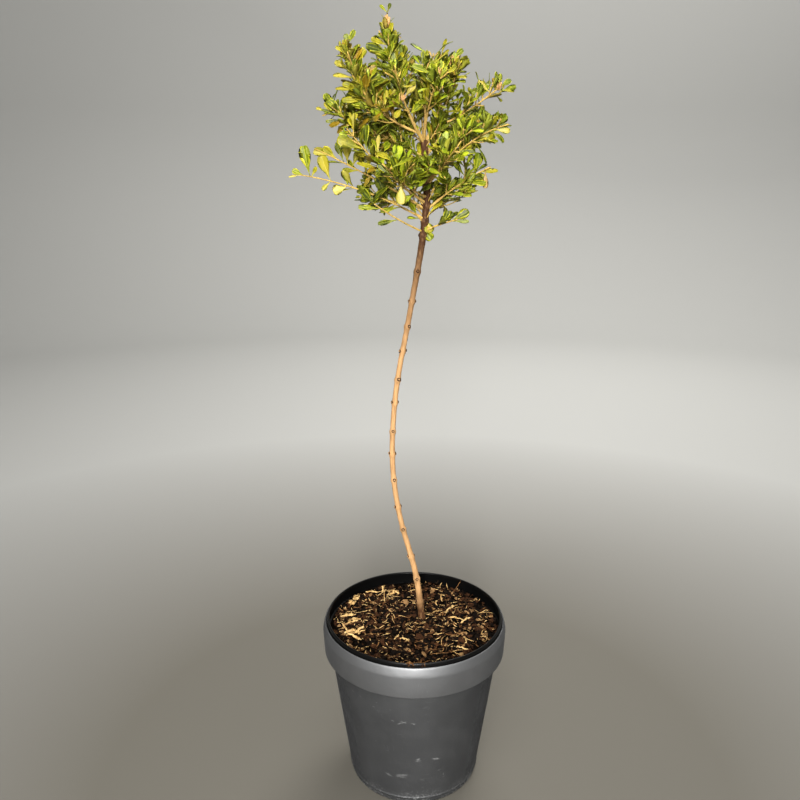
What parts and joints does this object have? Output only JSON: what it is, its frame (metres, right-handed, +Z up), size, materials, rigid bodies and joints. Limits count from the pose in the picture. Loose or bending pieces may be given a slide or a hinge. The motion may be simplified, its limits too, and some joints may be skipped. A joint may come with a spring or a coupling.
{
  "type": "standard shrub in a pot",
  "caption": "Standard shrub: a thin bare stem with a loose ball of small variegated leaves, in a nursery pot inside a tapered dark grey plastic pot with a wide collar.",
  "frame": {"origin": "centre of the outer pot's flat underside", "axes": "+Z up along the pot's axis, front of the shrub towards -Y, +X to the right seen from the front"},
  "size_m": [0.185, 0.17, 0.675],
  "materials": {
    "outer_pot_plastic": "satin",
    "nursery_pot_plastic": "satin",
    "bark_mulch": "matte",
    "bark": "matte",
    "foliage": "satin"
  },
  "bodies": {
    "root": {"outer_pot": "outer_pot_plastic", "nursery_pot": "nursery_pot_plastic", "potting_mix": "bark_mulch", "stem": "bark", "bough_top": "bark", "bough_right_top": "bark", "bough_front_top_left": "bark", "bough_front_top_right": "bark", "bough_top_right": "bark", "bough_left_top": "bark", "bough_right_high": "bark", "bough_left_back": "bark", "bough_left_mid": "bark", "bough_left_low": "bark", "bough_front_left": "bark", "bough_right_front": "bark", "bough_right_side": "bark", "bough_right_low": "bark", "bough_right_lowest": "bark", "bough_front_low_left": "bark", "bough_front_low_right": "bark", "bough_back_top": "bark", "bough_back_left": "bark", "bough_back_right": "bark", "bough_back_low": "bark", "bough_back_left_low": "bark", "bough_back_right_low": "bark", "foliage_top": "foliage", "foliage_right_top": "foliage", "foliage_front_top_left": "foliage", "foliage_front_top_right": "foliage", "foliage_top_right": "foliage", "foliage_left_top": "foliage", "foliage_right_high": "foliage", "foliage_left_back": "foliage", "foliage_left_mid": "foliage", "foliage_left_low": "foliage", "foliage_front_left": "foliage", "foliage_right_front": "foliage", "foliage_right_side": "foliage", "foliage_right_low": "foliage", "foliage_right_lowest": "foliage", "foliage_front_low_left": "foliage", "foliage_front_low_right": "foliage", "foliage_back_top": "foliage", "foliage_back_left": "foliage", "foliage_back_right": "foliage", "foliage_back_low": "foliage", "foliage_back_left_low": "foliage", "foliage_back_right_low": "foliage"}
  },
  "joints": []
}
